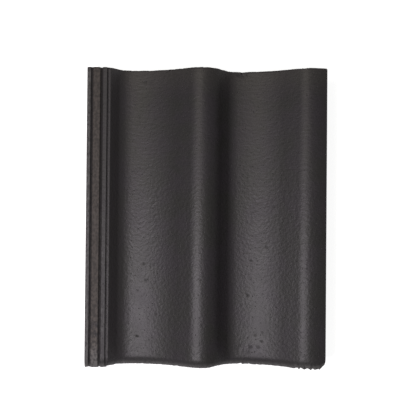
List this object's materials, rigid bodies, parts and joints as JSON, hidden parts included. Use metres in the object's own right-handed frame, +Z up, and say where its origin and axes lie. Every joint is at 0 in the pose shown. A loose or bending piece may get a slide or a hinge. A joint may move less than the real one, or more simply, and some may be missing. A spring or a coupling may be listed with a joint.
{
  "type": "concrete roof tile",
  "caption": "Concrete roof tile with a rolling wave, a side lock that laps over the next tile, hanging nibs at the head and a rounded foot edge.",
  "frame": {"origin": "centre of the bounding box in plan, at the height of the floor the tile rests on", "axes": "+X across the tile, from the underlap to the overlap roll; +Y along it, from the rounded foot edge to the head; +Z up, out of the weather side"},
  "size_m": [0.336, 0.42, 0.058],
  "materials": {
    "concrete": "dark charcoal paint with a satin sheen over grainy concrete, bare on the underside and along the underlap"
  },
  "bodies": {
    "root": {"roof_tile": "concrete"}
  },
  "joints": []
}
